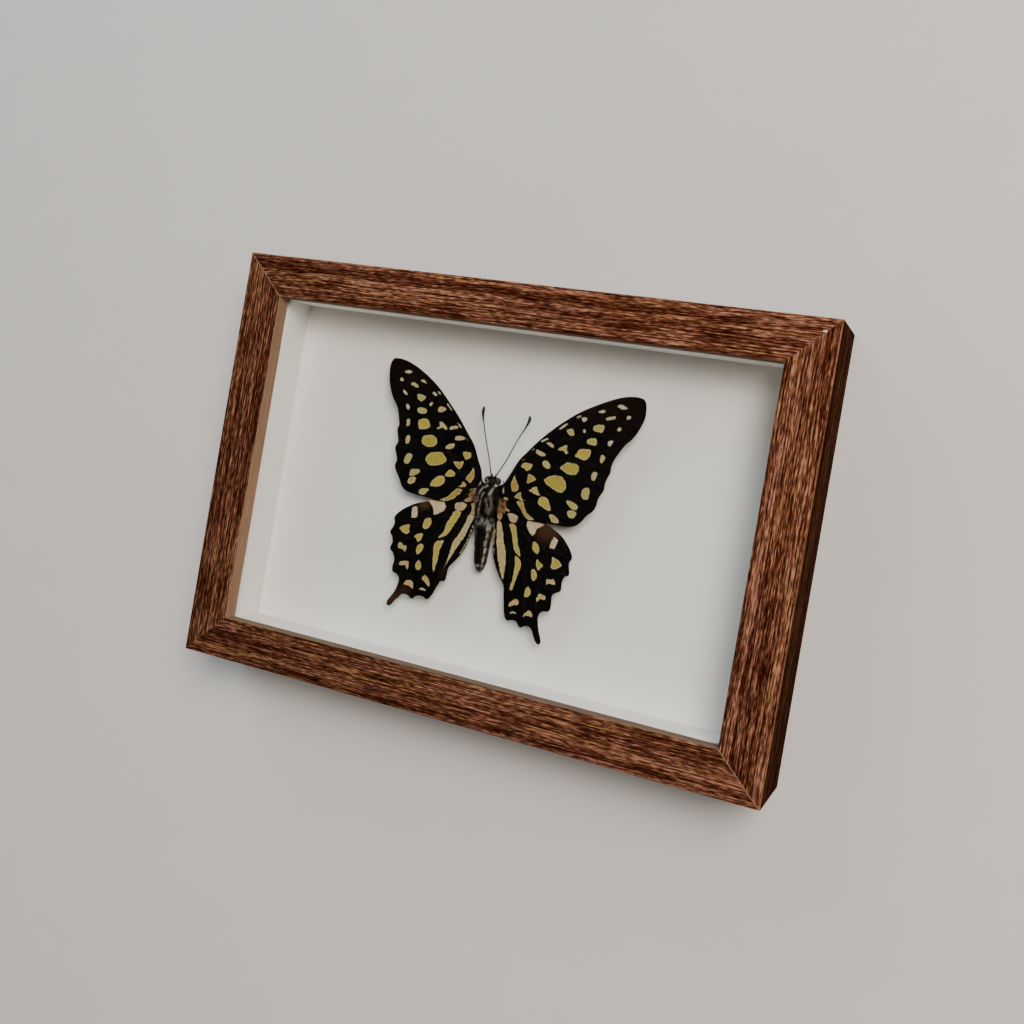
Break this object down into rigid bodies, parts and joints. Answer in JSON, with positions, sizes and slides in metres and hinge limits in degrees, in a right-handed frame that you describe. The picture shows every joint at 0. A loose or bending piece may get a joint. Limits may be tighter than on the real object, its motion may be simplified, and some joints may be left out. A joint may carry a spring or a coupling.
{
  "type": "framed butterfly specimen",
  "caption": "Spread butterfly mounted on a white card in a deep wood-grain box frame with mitred rails, a glass front and a recessed hanging back.",
  "frame": {"origin": "middle of the back rim of the four rails, at the height the frame lies on", "axes": "+X along the long side to the right of the picture, +Y up the picture, +Z out of the glass"},
  "size_m": [0.178, 0.127, 0.0318],
  "materials": {
    "rail_foil": "satin printed wood-grain foil, dark red-brown with lighter streaks along each rail",
    "glass": "clear float glass",
    "white_card": "matt white, finely toothed",
    "white_spacer": "matt white foam board",
    "hardboard": "brown pressed fibreboard",
    "zinc_plated_steel": "dull zinc plate",
    "wing_scales": "dull dark scales with yellow-green spots",
    "body_hair": "black hair with grey stripes"
  },
  "bodies": {
    "root": {"rail_top": "rail_foil", "rail_bottom": "rail_foil", "rail_left": "rail_foil", "rail_right": "rail_foil", "glass": "glass", "backing_card": "white_card", "spacer_top": "white_spacer", "spacer_bottom": "white_spacer", "spacer_left": "white_spacer", "spacer_right": "white_spacer", "back_panel": "hardboard", "tab_top_1": "zinc_plated_steel", "tab_top_2": "zinc_plated_steel", "tab_bottom_1": "zinc_plated_steel", "tab_bottom_2": "zinc_plated_steel", "tab_left": "zinc_plated_steel", "tab_right": "zinc_plated_steel", "hanger": "zinc_plated_steel", "hanger_rivet_left": "zinc_plated_steel", "hanger_rivet_right": "zinc_plated_steel", "body": "body_hair", "forewing_left": "wing_scales", "forewing_right": "wing_scales", "hindwing_left": "wing_scales", "hindwing_right": "wing_scales", "antenna_left": "body_hair", "antenna_right": "body_hair", "leg_front_left": "body_hair", "leg_front_right": "body_hair", "leg_middle_left": "body_hair", "leg_middle_right": "body_hair", "leg_hind_left": "body_hair", "leg_hind_right": "body_hair"}
  },
  "joints": []
}
